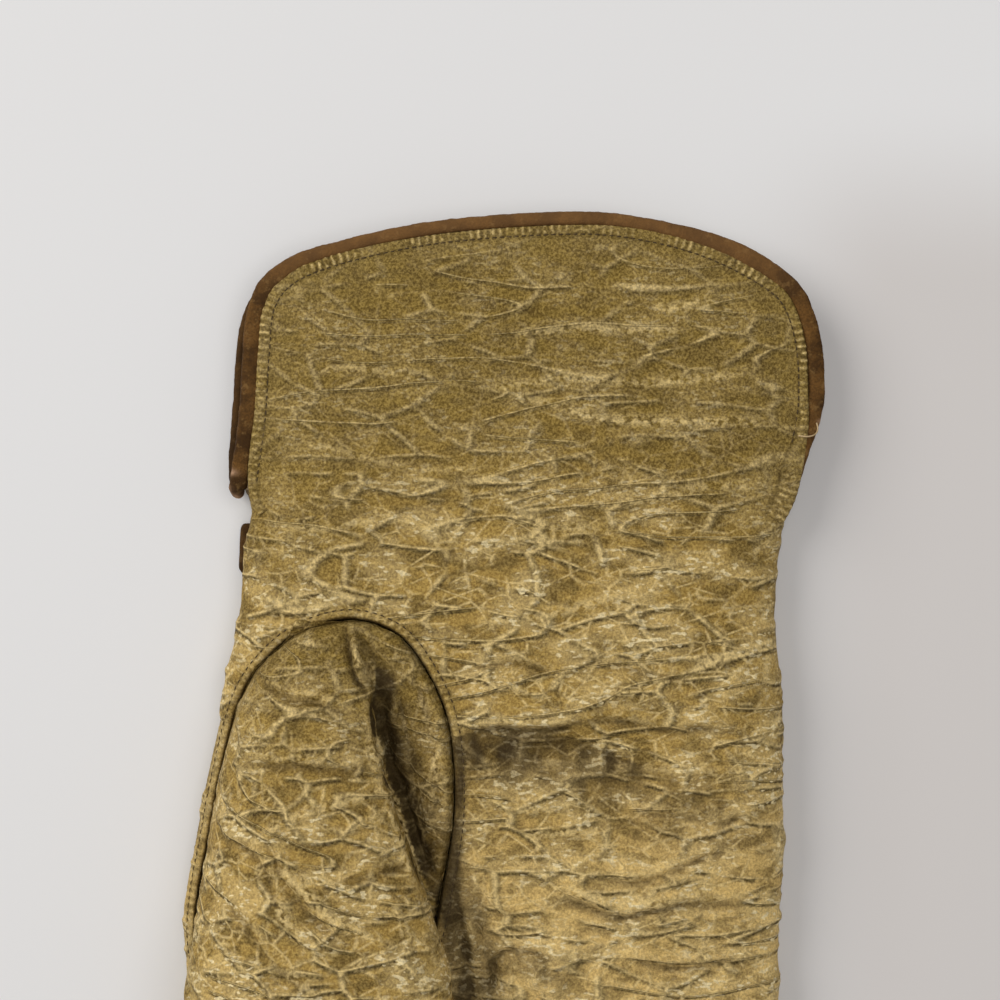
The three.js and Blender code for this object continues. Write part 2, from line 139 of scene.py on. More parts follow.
def mark(mesh, name, values):
    """Keeps one number for each point of the mesh, for the finishes to read."""
    layer = mesh.attributes.get(name) or mesh.attributes.new(name, "FLOAT", "POINT")
    layer.data.foreach_set("value", np.asarray(values, dtype=np.float32))


UP = Vector((0, 0, 1))


def inside_of(shell, mesh):
    """1 for each point of a hollow shell that faces its hollow: leather lies over and under it."""
    found = []
    for place, facing in zip(places(mesh), directions(mesh)):
        start = Vector(place + facing * 0.6 * MM)
        over = shell.ray_cast(start, UP)[0] is not None
        found.append(float(over and shell.ray_cast(start, -UP)[0] is not None))
    return np.array(found)


OFF_SHELL = 1.0 * MM


def coarser_where(piece, shell, hidden, share):
    """Thins the mesh where hidden is 1, and puts back any point that this moves off the shell."""
    group = piece.vertex_groups.new(name="hidden")
    group.add([int(i) for i in np.flatnonzero(hidden)], 1.0, "REPLACE")
    thin = piece.modifiers.new("thin", "DECIMATE")
    thin.ratio = share
    thin.vertex_group = "hidden"
    thin.vertex_group_factor = 1000
    settle(piece)
    piece.vertex_groups.clear()
    points = places(piece.data)
    for i, place in enumerate(points):
        near = shell.find_nearest(Vector(place))
        if near[3] > OFF_SHELL:
            points[i] = near[0]
    move_to(piece.data, points)
    piece.data.shade_smooth()


# Fold lines of the palm, read off the photograph: how far the line lifts the leather, its half
# width and how far the leather to its left is pushed up, all in millimetres, and its pixels.
PALM_FOLDS = [
    (-1.1, 4.6, 0.0, [(478, 752), (540, 750), (600, 764), (672, 792)]),
    (-0.7, 4.0, 0.0, [(585, 815), (640, 838), (700, 838), (760, 845)]),
    (0.8, 5.0, 0.0, [(560, 700), (640, 690), (720, 700), (775, 690)]),
    (0.9, 4.5, 0.0, [(540, 880), (620, 890), (700, 880)]),
    (-0.6, 2.6, 0.0, [(458, 880), (462, 920), (466, 960), (476, 1010)]),
    (-1.3, 0.8, 0.7, [(468, 731), (503, 730), (525, 732), (555, 730), (581, 725)]),
    (-0.7, 0.7, 0.4, [(575, 726), (612, 721), (633, 726), (677, 732), (699, 730), (731, 734)]),
    (-0.6, 0.8, 0.5, [(615, 812), (640, 815), (690, 821), (725, 828), (738, 821), (759, 820), (783, 827)]),
    (0.6, 0.6, 0.0, [(540, 838), (560, 833), (590, 832), (616, 836)]),
    (0.6, 0.6, 0.0, [(548, 860), (575, 888), (600, 898), (640, 896), (668, 884), (700, 868), (728, 846)]),
    (-0.7, 0.8, 0.6, [(600, 878), (633, 884), (668, 875), (694, 865), (720, 856), (738, 849)]),
    (-0.8, 0.8, 0.5, [(546, 898), (575, 903), (599, 913), (626, 918), (645, 913), (677, 913)]),
    (-0.7, 0.8, 0.5, [(600, 922), (640, 915), (670, 908), (694, 906), (725, 908), (755, 902)]),
    (-0.7, 0.7, 0.4, [(621, 961), (643, 965), (672, 972), (701, 971), (735, 966), (764, 976)]),
    (-0.5, 0.7, 0.3, [(580, 930), (594, 930), (614, 937)]),
    (-1.1, 0.7, 0.3, [(495, 1000), (494, 976), (496, 961), (510, 952), (536, 954), (556, 961)]),
    (1.3, 3.0, 0.0, [(512, 985), (525, 972), (545, 978), (565, 990)]),
    (-0.8, 0.7, 0.0, [(485, 880), (480, 905), (480, 937), (492, 976), (490, 1010)]),
    (-0.8, 0.7, 0.0, [(456, 905), (460, 937), (468, 976), (474, 1010)]),
    (0.6, 0.6, 0.0, [(466, 890), (470, 930), (478, 965)]),
    (0.5, 0.5, 0.0, [(478, 870), (474, 900), (486, 935), (482, 960)]),
    (0.6, 0.6, 0.0, [(515, 962), (512, 975), (508, 992)]),
    (0.6, 0.6, 0.0, [(545, 958), (538, 972), (530, 990)]),
    (0.5, 0.6, 0.3, [(470, 625), (520, 618), (570, 612), (610, 600), (640, 598), (668, 606)]),
    (-0.5, 0.6, 0.4, [(560, 655), (600, 664), (640, 672), (690, 680)]),
    (-0.5, 0.6, 0.4, [(465, 670), (500, 664), (530, 666), (560, 676)]),
    (0.5, 0.6, 0.0, [(470, 695), (500, 686), (525, 692), (548, 702)]),
    (0.5, 0.6, 0.0, [(548, 758), (572, 760), (600, 768), (650, 770), (720, 774), (775, 772)]),
    (0.5, 0.6, 0.0, [(480, 800), (520, 812), (560, 806), (590, 804)]),
    (0.5, 0.6, 0.0, [(649, 299), (674, 308), (703, 298), (721, 294)]),
    (0.5, 0.6, 0.2, [(500, 336), (560, 329), (589, 326), (614, 330), (646, 328), (671, 330), (699, 328)]),
    (0.5, 0.6, 0.2, [(470, 388), (560, 380), (592, 379), (631, 383), (660, 383), (706, 378), (774, 372)]),
    (0.6, 0.6, 0.2, [(500, 396), (560, 406), (583, 415), (614, 420), (653, 422), (703, 422), (792, 422)]),
    (0.4, 0.6, 0.0, [(300, 372), (350, 366), (400, 372), (440, 368)]),
    (0.4, 0.6, 0.0, [(275, 441), (330, 448), (380, 462), (430, 470), (500, 466)]),
    (0.4, 0.6, 0.0, [(262, 522), (320, 530), (380, 520), (440, 528)]),
    (0.5, 0.6, 0.2, [(590, 508), (667, 497), (703, 487), (756, 489), (774, 494)]),
    (0.5, 0.6, 0.2, [(470, 552), (520, 540), (560, 528), (590, 530), (640, 545)]),
]
# Places painted darker for the shade that lies in them: how dark, half widths to the right and to
# the left of the line as it runs in mm, pixels.
PALM_SHADE = [
    (0.8, 9.0, 0.9, [(468, 736), (520, 737), (570, 742), (612, 756)]),
    (0.45, 5.5, 3.0, [(590, 762), (650, 782), (705, 795)]),
    (0.3, 3.6, 3.6, [(640, 830), (700, 840), (760, 840)]),
    (0.9, 2.0, 1.8, [(455, 750), (456, 780), (454, 820), (450, 860)]),
    (1.0, 2.8, 2.6, [(452, 826), (450, 900), (457, 930), (461, 960), (468, 1010)]),
    (0.65, 2.6, 3.4, [(464, 900), (474, 930), (482, 960), (488, 1010)]),
    (0.6, 3.4, 0.8, [(490, 1010), (490, 985), (492, 968), (510, 955), (536, 957), (556, 966)]),
]
PALM_TOP = 14.0


LINE_STEP = 0.8  # between the points of a fold's line, millimetres
# A fold's furrow is painted with shade, never darker than this.
DEEPEST = 0.9  # the darkest a fold's furrow gets


def along_line(line, plan):
    """Each plan point's distance from a line, its side (1 is left) and its share along it."""
    line = np.asarray(line, dtype=float)
    best = np.full(len(plan), 1e9)
    side = np.zeros(len(plan))
    share = np.zeros(len(plan))
    lengths = np.linalg.norm(np.diff(line, axis=0), axis=1)
    total = lengths.sum()
    gone = 0.0
    for start, end, length in zip(line[:-1], line[1:], lengths):
        way = (end - start) / length
        off = plan - start
        t = np.clip(off @ way, 0, length)
        gap = off - t[:, None] * way
        far = np.linalg.norm(gap, axis=1)
        nearer = far < best
        best[nearer] = far[nearer]
        side[nearer] = np.sign(way[0] * off[:, 1] - way[1] * off[:, 0])[nearer]
        share[nearer] = ((gone + t) / total)[nearer]
        gone += length
    return best, side, share


def press_folds(points, folds, height, mask):
    """Lifts and presses points along fold lines. Returns each point's crest, painted pale as partly wear
    and partly highlight, and its furrow's painted shade.
    """
    plan = points[:, :2] / MM - np.array(WRIST[:2])
    crest = np.zeros(len(points))
    furrow_shade = np.zeros(len(points))
    for lift, width, shoulder, pixels in folds:
        line = smooth_line([seen(px, py, height) for px, py in pixels], LINE_STEP)
        low = line.min(axis=0) - 3 * width - 3
        high = line.max(axis=0) + 3 * width + 3
        near = mask & (plan > low).all(axis=1) & (plan < high).all(axis=1)
        far, side, share = along_line(line, plan[near])
        wander = np.array([noise.noise(Vector((x / 3, y / 3, 5.5))) for x, y in plan[near]])
        ends = np.clip(np.minimum(share, 1 - share) * 6, 0, 1) * (1 + 0.5 * wander)
        line_part = np.exp(-((far / width) ** 2)) * ends
        above = np.exp(-(((far * side - 1.7 * width) / (1.1 * width)) ** 2)) * ends
        points[near, 2] += (lift * line_part + shoulder * above) * MM
        # Narrow folds get pale crests, partly wear and partly painted highlight, and painted shade in
        # their furrows; wide ones get only a faint crest.
        worn, painted_shade = (1, 1) if width < 2 else (0.1, 0)
        crest[near] += (max(lift, 0) * line_part * 2 + shoulder * above * 1.6) * worn
        furrow_shade[near] += max(-lift, 0) * line_part * painted_shade
    return crest, np.minimum(furrow_shade, DEEPEST)


def shade(points, places_shaded, height):
    """How far each point lies in the shaded places, from 0 to 1."""
    plan = points[:, :2] / MM - np.array(WRIST[:2])
    found = np.zeros(len(points))
    for dark, right, left, pixels in places_shaded:
        line = smooth_line([seen(px, py, height) for px, py in pixels], LINE_STEP)
        reach = 3 * max(right, left)
        near = (plan > line.min(axis=0) - reach).all(axis=1)
        near &= (plan < line.max(axis=0) + reach).all(axis=1)
        far, side, _ = along_line(line, plan[near])
        width = np.where(side > 0, left, right)
        wander = np.array([noise.noise(Vector((x / 2, y / 4, 3.5))) for x, y in plan[near]])
        part = dark * np.exp(-((far / width) ** 4)) * (1 + 0.5 * wander)
        found[near] = np.maximum(found[near], part)
    return np.minimum(found, 1)


def smooth_line(knots, step, closed=False):
    """Evenly spaced points on a smooth curve through plan points."""
    knots = [np.asarray(p, dtype=float) for p in knots]
    if closed:
        ring = [knots[-1], *knots, knots[0], knots[1]]
    else:
        ring = [2 * knots[0] - knots[1], *knots, 2 * knots[-1] - knots[-2]]
    dense = []
    for a, b, c, d in zip(ring, ring[1:], ring[2:], ring[3:]):
        t1 = np.linalg.norm(b - a) ** 0.5
        t2 = t1 + np.linalg.norm(c - b) ** 0.5
        t3 = t2 + np.linalg.norm(d - c) ** 0.5
        for t in np.linspace(t1, t2, 24, endpoint=False):
            ab = a + (b - a) * t / t1
            bc = b + (c - b) * (t - t1) / (t2 - t1)
            cd = c + (d - c) * (t - t2) / (t3 - t2)
            abc = ab + (bc - ab) * t / t2
            bcd = bc + (cd - bc) * (t - t1) / (t3 - t1)
            dense.append(abc + (bcd - abc) * (t - t1) / (t2 - t1))
    dense.append(knots[0] if closed else knots[-1])
    dense = np.array(dense)
    run = np.concatenate([[0], np.cumsum(np.linalg.norm(np.diff(dense, axis=0), axis=1))])
    count = max(int(round(run[-1] / step)), 2)
    marks = np.linspace(0, run[-1], count + 1)
    if closed:
        marks = marks[:-1]
    return np.stack([np.interp(marks, run, dense[:, k]) for k in range(dense.shape[1])], axis=1)


class Value:
    """A socket of a finish, so that its sums read as plain Python."""

    def __init__(self, socket):
        self.socket = socket

    def math(self, operation, *others):
        tree = self.socket.id_data
        made = tree.nodes.new("ShaderNodeMath")
        made.operation = operation
        for place, value in zip(made.inputs, (self, *others)):
            if isinstance(value, Value):
                tree.links.new(value.socket, place)
            else:
                place.default_value = value
        return Value(made.outputs[0])

    def __add__(self, other):
        return self.math("ADD", other)

    __radd__ = __add__

    def __mul__(self, other):
        return self.math("MULTIPLY", other)

    __rmul__ = __mul__

    def __sub__(self, other):
        return self.math("SUBTRACT", other)

    def __rsub__(self, other):
        return (self * -1.0) + other

    def most(self, other):
        return self.math("MAXIMUM", other)


class Finish:
    """The nodes of one material, or of the relief that is pressed into a mesh."""

    def __init__(self, tree):
        self.tree = tree

    def node(self, kind, settings, sockets, out=0):
        """Adds a node: its settings first, then its sockets' values or links."""
        made = self.tree.nodes.new(kind)
        for name, value in settings.items():
            setattr(made, name, value)
        for name, value in sockets.items():
            if isinstance(value, Value):
                self.tree.links.new(value.socket, made.inputs[name])
            else:
                made.inputs[name].default_value = value
        return Value(made.outputs[out])

    def step(self, value, low, high):
        """0 under low, 1 over high and smooth between. High may be under low."""
        sockets = {0: value, 1: low, 2: high}
        return self.node("ShaderNodeMapRange", {"interpolation_type": "SMOOTHSTEP"}, sockets)

    def millimetres(self):
        """The place on the piece, in millimetres."""
        where = self.node("ShaderNodeTexCoord", {}, {}, "Object")
        return self.stretched(where, (1000, 1000, 1000))

    def marked(self, name):
        """A number that the mesh keeps for each of its points."""
        return self.node("ShaderNodeAttribute", {"attribute_name": name}, {}, "Fac")

    def moved(self, place, by):
        return self.node("ShaderNodeVectorMath", {"operation": "ADD"}, {0: place, 1: by})

    def stretched(self, place, by):
        return self.node("ShaderNodeVectorMath", {"operation": "MULTIPLY"}, {0: place, 1: by})

    def turned(self, place, degrees):
        sockets = {"Vector": place, "Angle": math.radians(degrees)}
        return self.node("ShaderNodeVectorRotate", {"rotation_type": "Z_AXIS"}, sockets)

    def cloud(self, place, size, detail=2.0, rough=0.5, out="Fac"):
        """Soft noise whose blotches are about size millimetres across."""
        sockets = {"Vector": place, "Scale": 1 / size, "Detail": detail, "Roughness": rough}
        return self.node("ShaderNodeTexNoise", {}, sockets, out)

    def part(self, place, number):
        """One of the three numbers of a vector."""
        return self.node("ShaderNodeSeparateXYZ", {}, {0: place}, number)

    def arcs(self, place, count):
        """Distance from a few level lines of noise: long arcs that close into lenses."""
        level = self.cloud(place, 1.0, 0.4) * count
        return level.math("PINGPONG", 0.5)

    def cells(self, place):
        """Distance from the edges of cells that are about 1 across."""
        settings = {"feature": "DISTANCE_TO_EDGE", "voronoi_dimensions": "2D"}
        sockets = {"Vector": place, "Scale": 1.0}
        return self.node("ShaderNodeTexVoronoi", settings, sockets, "Distance")

    def mix(self, share, first, second):
        """One colour into another, as share goes from 0 to 1."""
        settings = {"data_type": "RGBA", "clamp_factor": True}
        return self.node("ShaderNodeMix", settings, {0: share, 6: first, 7: second}, 2)


def paint(*tones):
    """A colour from the photograph's 0 to 255 as light."""
    shares = [tone / 255 for tone in tones]
    return (*(s / 12.92 if s < 0.04 else ((s + 0.055) / 1.055) ** 2.4 for s in shares), 1.0)


# Each network of ridges in the grain: turn in degrees, size of its cells along and across that
# direction in mm, how far they drift, half width of a ridge as a share of a cell, height in mm.
# The first is of long arcs and the others are of cells.
PALM_GRAIN = [
    (-2, (44.0, 7.6), 3.5, 0.10, 0.28),
    (3, (13.5, 5.6), 4.5, 0.095, 0.26),
    (24, (6.2, 3.2), 2.5, 0.11, 0.13),
    (-28, (6.4, 3.0), 2.5, 0.11, 0.13),
]
THUMB_GRAIN = [
    (16, (30.0, 7.0), 6.0, 0.11, 0.32),
    (4, (10.5, 5.4), 5.0, 0.11, 0.34),
    (36, (5.8, 3.4), 2.5, 0.12, 0.16),
    (-34, (6.4, 3.2), 2.5, 0.12, 0.16),
]
# Each network comes and goes in patches: their size in mm, and how much of the hide they leave out.
PATCHES = [(9.0, 0.36), (6.0, 0.40), (5.0, 0.44), (5.0, 0.44)]


def ridges(finish, place, networks, wider):
    """How strongly each network of ridges shows here. Wider thickens them."""
    drift = finish.cloud(finish.stretched(place, (0.55, 1.0, 1.0)), 15.0, 2.0, 0.5, "Color")
    drift = finish.moved(drift, (-0.5, -0.5, -0.5))
    depth = finish.part(place, 2)
    slant = finish.node("ShaderNodeCombineXYZ", {}, {"X": depth * 0.6, "Y": depth * 0.15})
    flat = finish.moved(place, slant)
    found = []
    for number, (turn, reach, swing, width, _) in enumerate(networks):
        bent = finish.moved(flat, finish.stretched(drift, (swing, swing, 0)))
        bent = finish.moved(finish.turned(bent, turn), (31.0 * number, 17.0, 0))
        bent = finish.stretched(bent, (1 / reach[0], 1 / reach[1], 0))
        edge = finish.cells(bent) if number else finish.arcs(bent, 5.0)
        line = finish.step(edge, width * wider, 0.0)
        size, bare = PATCHES[number]
        patch = finish.cloud(finish.moved(place, (9.0 * number, 40.0, 0.0)), size, 1.0)
        found.append(line * finish.step(patch, bare, bare + 0.14))
    return found


def relief(lines, networks, rise):
    """The height in millimetres of the grain that these ridges make."""
    height = 0.0
    for line, row in zip(lines, networks):
        height = line * (row[4] * rise) + height
    return height


def press_grain(piece, networks, rise, swell):
    """Raises the grain's ridges and its soft unevenness in the piece's own mesh."""
    tree = bpy.data.node_groups.new(piece.name + "_grain", "GeometryNodeTree")
    for way in ("INPUT", "OUTPUT"):
        tree.interface.new_socket("Geometry", in_out=way, socket_type="NodeSocketGeometry")
    finish = Finish(tree)
    millimetres = finish.stretched(finish.node("GeometryNodeInputPosition", {}, {}), (1000, 1000, 1000))
    calm = finish.node("GeometryNodeInputNamedAttribute", {"data_type": "FLOAT"}, {"Name": "calm"})
    height = relief(ridges(finish, millimetres, networks[:2], 2.2), networks, rise)
    broad = finish.cloud(finish.stretched(millimetres, (0.5, 1.0, 1.0)), 6.0, 1.0) - 0.5
    height = (height + broad * swell) * (1.0 - calm) * MM
    normal = finish.node("GeometryNodeInputNormal", {}, {})
    offset = finish.node("ShaderNodeVectorMath", {"operation": "SCALE"}, {0: normal, "Scale": height})
    arriving = finish.node("NodeGroupInput", {}, {})
    moved = finish.node("GeometryNodeSetPosition", {}, {"Geometry": arriving, "Offset": offset})
    tree.links.new(moved.socket, tree.nodes.new("NodeGroupOutput").inputs[0])
    modifier = piece.modifiers.new("grain", "NODES")
    modifier.node_group = tree
    settle(piece)


def surface(name):
    """A new material, with its shader and its nodes."""
    material = bpy.data.materials.new(name)
    material.use_nodes = True
    shader = next(n for n in material.node_tree.nodes if n.type == "BSDF_PRINCIPLED")
    return material, shader, Finish(material.node_tree)


def lay(finish, shader, colour, rough, height):
    """Joins a finish's colour, roughness and height in millimetres to its shader."""
    bump = {"Strength": 1.0, "Distance": MM, "Height": height}
    finish.tree.links.new(colour.socket, shader.inputs["Base Color"])
    finish.tree.links.new(rough.socket, shader.inputs["Roughness"])
    finish.tree.links.new(finish.node("ShaderNodeBump", {}, bump).socket, shader.inputs["Normal"])


def tan_leather(name, networks, darker_above, brighter_below):
    """Tan hide whose grain stands in paler ridges, worn and painted with highlight, with a painted shadow
    under each, paler towards the fingers; creases and hollows are painted with shade.
    """
    material, shader, finish = surface(name)
    shader.inputs["Specular IOR Level"].default_value = 0.2
    place = finish.millimetres()
    calm = finish.marked("calm")
    crest = finish.marked("crest")
    # The mesh's furrow mark is painted shade in creases, recesses, the crotch and along seams; pale lines
    # are kept out of it.
    furrow_shade = finish.marked("furrow_shade")
    plain = 1.0 - calm * 0.75
    shown = 1.0 - furrow_shade * 0.85
    wide = finish.cloud(finish.stretched(place, (0.7, 1.0, 1.0)), 24.0, 1.0)
    along = finish.part(place, 1) + (wide - 0.5) * 40.0
    above = finish.step(along, darker_above - 20.0, darker_above + 20.0)
    below = finish.step(along, brighter_below + 20.0, brighter_below - 20.0)
    lines = ridges(finish, place, networks, 0.85)
    lines = [line * (1.0 - above * fading) for line, fading in zip(lines, (0.15, 0.45, 0.75, 0.75))]
    # Painted shadow: the large ridges again, moved a little toward the fingers, so that a dark line lies
    # under each as if lit from the top.
    under = ridges(finish, finish.moved(place, (-0.12, 0.46, 0.0)), networks[:2], 1.3)
    dash = finish.step(finish.cloud(place, 1.1, 1.0), 0.36, 0.56)
    pale = lines[0].most(lines[1]).most(lines[2] * 0.8).most(lines[3] * 0.8) * (dash * 0.6 + 0.4)
    dark = under[0].most(under[1]) * (1.0 - above * 0.3)
    fleck = finish.step(finish.cloud(place, 0.44, 3.0, 0.7), 0.34, 0.66)
    streak = finish.cloud(finish.stretched(place, (0.5, 1.0, 1.0)), 3.0, 4.0, 0.65)
    # Painted sheen: broad soft pale patches, fewer on the cuff.
    sheen_patch = finish.step(finish.cloud(finish.stretched(place, (0.6, 1.0, 1.0)), 6.0, 2.0), 0.44, 0.62)
    sheen_patch = sheen_patch * (1.0 - above * 0.75)
    # Painted glints: small bright spots inside the sheen patches.
    glint = finish.step(finish.cloud(finish.stretched(place, (0.55, 1.2, 1.0)), 0.9, 1.0), 0.56, 0.66)
    colour = finish.mix(above, paint(171, 137, 67), paint(126, 99, 30))
    colour = finish.mix(below, colour, paint(224, 188, 117))
    streaked = finish.step(streak, 0.43, 0.58) * (0.78 - above * 0.22 - below * 0.18)
    colour = finish.mix(streaked, colour, paint(84, 62, 18))
    colour = finish.mix(sheen_patch * 0.4, colour, paint(246, 214, 146))
    colour = finish.mix(calm * 0.45, colour, paint(124, 101, 50))
    # Painted shade: the ridges' shadows and the furrow shade darken the colour.
    painted_shade = (dark * plain * 0.95).most(furrow_shade * 0.94)
    colour = finish.mix(painted_shade, colour, paint(40, 26, 6))
    # Pale on ridges and fold crests: partly wear, partly painted highlight.
    wear_and_highlight = (pale * plain * shown * 0.97).most(crest * 0.7 * dash)
    colour = finish.mix(wear_and_highlight, colour, paint(244, 214, 148))
    colour = finish.mix(glint * sheen_patch * plain * shown, colour, paint(252, 232, 182))
    colour = finish.mix((above * 0.16 + 0.4) * (1.0 - fleck), colour, paint(60, 43, 10))
    colour = finish.mix(0.22 * fleck * shown, colour, paint(234, 204, 122))
    height = relief(lines[:3], networks, 1.05) * plain * shown + fleck * 0.07
    lay(finish, shader, colour, 0.72 - pale * 0.2, height)
    return material


def knit_lining(name):
    """Thin cream knit, ribbed along the fingers."""
    material, shader, finish = surface(name)
    shader.inputs["Specular IOR Level"].default_value = 0.1
    place = finish.millimetres()
    ribs = finish.node("ShaderNodeTexWave", {"bands_direction": "X"}, {"Vector": place, "Scale": 0.35})
    rows = finish.node(
        "ShaderNodeTexWave",
        {"bands_direction": "Y"},
        {"Vector": place, "Scale": 0.5, "Distortion": 2.0, "Detail Scale": 2.0},
    )
    fuzz = finish.cloud(place, 0.3, 3.0)
    depth = ribs * 0.6 + rows * 0.4
    yarn = finish.mix(depth, paint(112, 92, 66), paint(190, 170, 136))
    yarn = finish.mix(fuzz * 0.4, yarn, paint(150, 130, 100))
    lay(finish, shader, yarn, 0.85 + fuzz * 0.1, depth * 0.25 + fuzz * 0.08)
    return material


PALM_FLAP = [
    (-42.4, 3.0), (-42.4, 6.5), (-40.9, 16.8), (-40.2, 28.7), (-39.2, 36.6), (-35.4, 41.2),
    (-16.8, 46.9), (8.5, 49.4), (20.2, 49.1), (33.7, 46.1), (43.8, 41.4), (48.7, 37.6),
    (51.3, 30.3), (51.8, 20.2), (50.4, 11.8), (48.2, 5.4), (47.6, 3.0),
]
THUMB_HOLE = [
    (-24.9, -16.4), (-17.1, -18.9), (-12.7, -24.1), (-9.0, -31.8), (-7.6, -40.9), (-7.6, -50.0),
    (-9.4, -61.0), (-11.6, -71.0), (-16.0, -79.0), (-25.0, -84.4), (-36.0, -85.4), (-46.0, -82.6),
    (-51.0, -75.0), (-51.4, -65.0), (-49.6, -54.7), (-47.6, -43.9), (-45.1, -33.6), (-42.0, -26.6),
    (-34.7, -19.4),
]
flap_edge = smooth_line(PALM_FLAP, 0.5)
hole_edge = smooth_line(THUMB_HOLE, 0.5, closed=True)

tan_hide = tan_leather("tan_hide", PALM_GRAIN, 74.0, 24.0)
lining = knit_lining("knit_lining")


def keep_off_table(mesh):
    """Lifts any point that has been pushed under the table."""
    points = places(mesh)
    points[:, 2] = np.maximum(points[:, 2], 0)
    move_to(mesh, points)


def tree_of(piece):
    return BVHTree.FromObject(piece, bpy.context.evaluated_depsgraph_get())


def wear_finishes(piece, outer):
    """Puts the lining's finish on the faces that look into the hollow, the hide on the rest."""
    piece.data.materials.append(outer)
    piece.data.materials.append(lining)
    hollow = np.empty(len(piece.data.vertices), dtype=np.float32)
    piece.data.attributes["hollow"].data.foreach_get("value", hollow)
    for face in piece.data.polygons:
        if min(hollow[i] for i in face.vertices) > 0.5:
            face.material_index = 1


hand = merged_copy("hand_leather", "hand_shell")
hand_shell = tree_of(hand)
soften(hand, HIDE_MESH, 7)
low = places(hand.data)[:, 2] < FLOOR_LAYER * MM
coarser_where(hand, hand_shell, low | (inside_of(hand_shell, hand.data) > 0.5), HAND_SHARE)
points = places(hand.data)
plan = points[:, :2] / MM - np.array(WRIST[:2])
upper_wall = points[:, 2] > PALM_LAYER * MM
# The flaps' facing sides are lined to their edges, also where one flap runs past the other.
toward_hollow = directions(hand.data)[:, 2] * np.where(upper_wall, -1, 1)
flap_lining = (plan[:, 1] > 2) & (toward_hollow > 0.3)
hollow = np.maximum(inside_of(hand_shell, hand.data), flap_lining)
at_strap = np.exp(-(((plan[:, 1] + 5.5) / 5) ** 2)) * np.clip((-plan[:, 0] - 36) / 6, 0, 1)
points[:, 0] -= STRAP_PULL * at_strap * MM
on_top = upper_wall & (hollow < 0.5)
crest, furrow_shade = press_folds(points, PALM_FOLDS, PALM_TOP, upper_wall)
move_to(hand.data, points)
from_flap = along_line(flap_edge, plan)[0]
from_hole = along_line(np.vstack([hole_edge, hole_edge[:1]]), plan)[0]
calm = np.maximum(np.exp(-((from_flap / 4.5) ** 2)), np.exp(-((from_hole / 1.6) ** 2)))
mark(hand.data, "hollow", hollow)
mark(hand.data, "calm", np.maximum(calm, hollow))
# Painted shade: the palm's shaded places and a thin dark line along the thumb's seam; no pale crests are
# painted inside it.
shaded = np.maximum(shade(points, PALM_SHADE, PALM_TOP), np.exp(-((from_hole / 0.4) ** 2)))
mark(hand.data, "crest", crest * (1 - shaded) * on_top)
mark(hand.data, "furrow_shade", np.maximum(furrow_shade, shaded) * on_top)
press_grain(hand, PALM_GRAIN, 1.0, 0.7)
wear_finishes(hand, tan_hide)
keep_off_table(hand.data)
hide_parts("hand_shell")
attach(hand, "root")


# The thumb: a hollow stall of the same hide, sewn into the long oval hole in the palm. Its grain
# runs aslant and bunches in cells, and the loose leather beside it tucks down under its edge.
THUMB_TOP = 24.0
TUCK_TOP = 15.0
SHELF_TOP = 14.8  # of the leather that runs out to the seam
HIGH_SHELF = (-31, -18)  # where it is pressed down most
